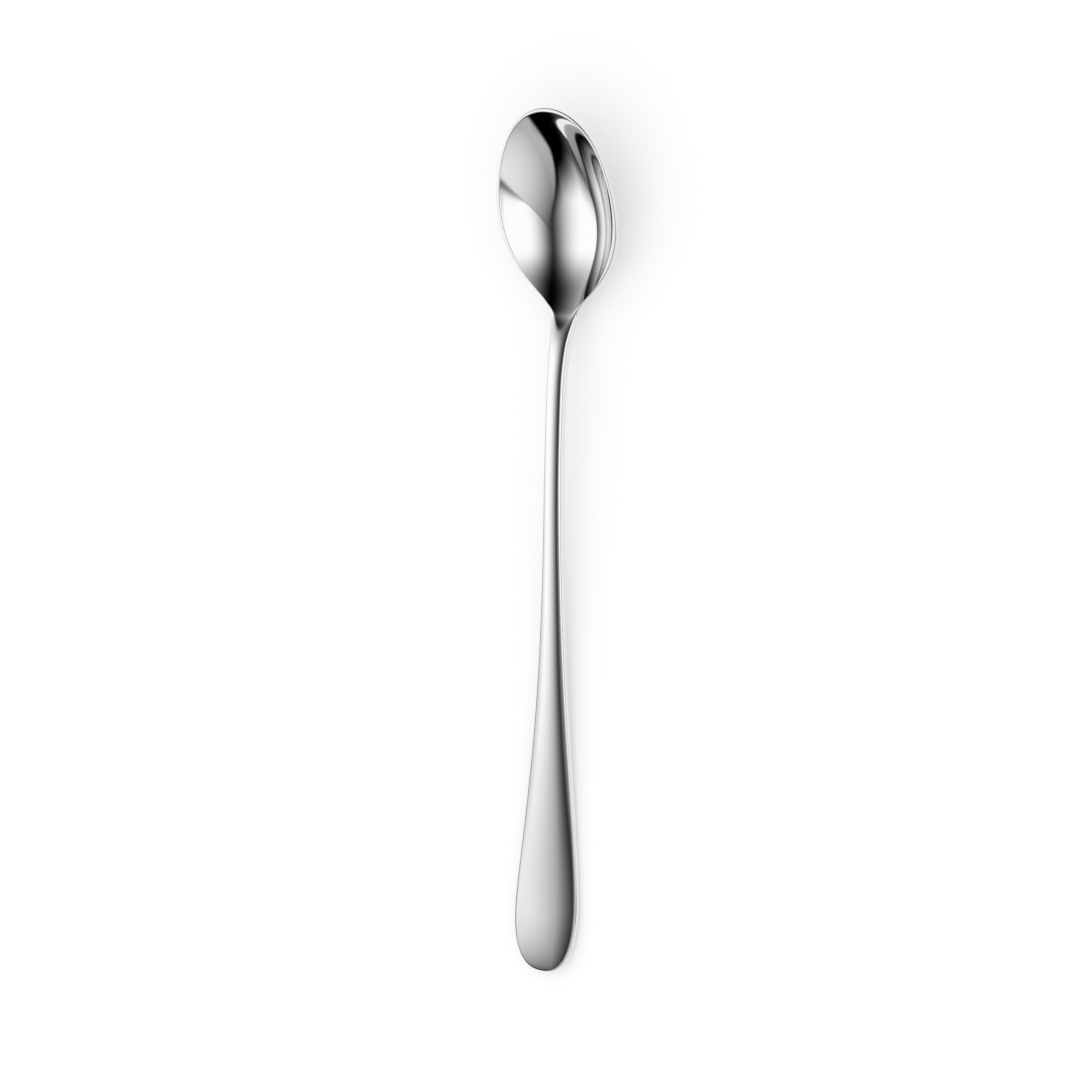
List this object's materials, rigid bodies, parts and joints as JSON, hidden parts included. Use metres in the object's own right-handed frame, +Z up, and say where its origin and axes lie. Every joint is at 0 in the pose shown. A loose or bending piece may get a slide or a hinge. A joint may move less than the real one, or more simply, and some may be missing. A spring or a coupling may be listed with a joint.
{
  "type": "iced tea spoon",
  "caption": "Long-handled mirror-polished spoon with a deep egg-shaped bowl, slender stem and broad rounded handle, for stirring tall drinks.",
  "frame": {"origin": "on the table under the middle of the spoon's length and width, as the spoon rests face up", "axes": "+X along the spoon towards the bowl's tip, +Y across it, +Z up from the table"},
  "size_m": [0.2, 0.0314, 0.0152],
  "materials": {
    "steel": "mirror-polished stainless steel"
  },
  "bodies": {
    "root": {"bowl": "steel", "neck": "steel", "stem": "steel", "handle": "steel"}
  },
  "joints": []
}
